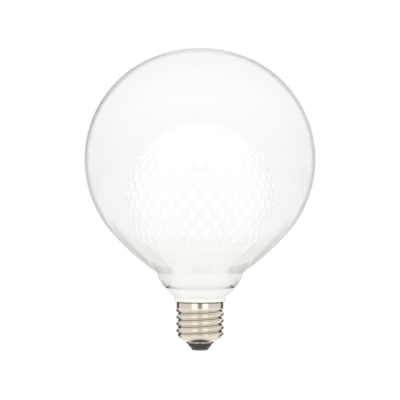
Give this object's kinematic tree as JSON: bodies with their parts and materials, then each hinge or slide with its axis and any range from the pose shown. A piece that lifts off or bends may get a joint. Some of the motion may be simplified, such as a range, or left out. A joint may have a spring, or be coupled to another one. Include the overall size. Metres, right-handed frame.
{
  "type": "globe bulb",
  "caption": "Round lamp bulb: a quilted opal glass diffuser inside a clear glass globe, on a white collar and a nickel screw cap with a black insulated tip.",
  "frame": {"origin": "middle of the centre contact's outer face, on the bulb's axis", "axes": "+Z along the bulb's axis, from the contact to the crown of the globe; +X to the right and +Y away in the picture's view"},
  "size_m": [0.125, 0.125, 0.1637],
  "materials": {
    "clear_glass": "blown clear glass, smooth",
    "opal_glass": "moulded opal glass, glossy, quilted",
    "white_moulding": "moulded white plastic, fine satin",
    "nickel_plate": "rolled brass sheet, nickel plated, bright",
    "black_moulding": "moulded black insulator, smooth",
    "contact_brass": "stamped and tinned brass",
    "set_adhesive": "set grey silicone adhesive",
    "spun_aluminium": "pressed sheet, plain",
    "white_board": "white solder mask on an aluminium core",
    "yellow_phosphor": "cured phosphor gel in white frames",
    "screw_steel": "zinc plated",
    "circuit_board": "green solder mask",
    "capacitor_sleeve": "shrunk sleeve",
    "component_black": "moulded chip package",
    "resistor_lacquer": "dipped lacquer",
    "winding_lacquer": "enamelled wire on a ferrite core",
    "tinned_wire": "tinned copper wire"
  },
  "bodies": {
    "root": {"outer_globe": "clear_glass", "inner_diffuser": "opal_glass", "globe_seal": "set_adhesive", "diffuser_seal": "set_adhesive", "screw_shell": "nickel_plate", "cap_insulator": "black_moulding", "centre_contact": "contact_brass", "collar": "white_moulding", "heat_spreader": "spun_aluminium", "led_board": "white_board", "led_chips": "yellow_phosphor", "board_screws": "screw_steel", "driver_board": "circuit_board", "smoothing_capacitor": "capacitor_sleeve", "fuse_resistor": "resistor_lacquer", "inductor": "winding_lacquer", "bridge_rectifier": "component_black", "driver_chip": "component_black", "live_lead": "tinned_wire", "neutral_lead": "tinned_wire", "led_leads": "tinned_wire"}
  },
  "joints": []
}
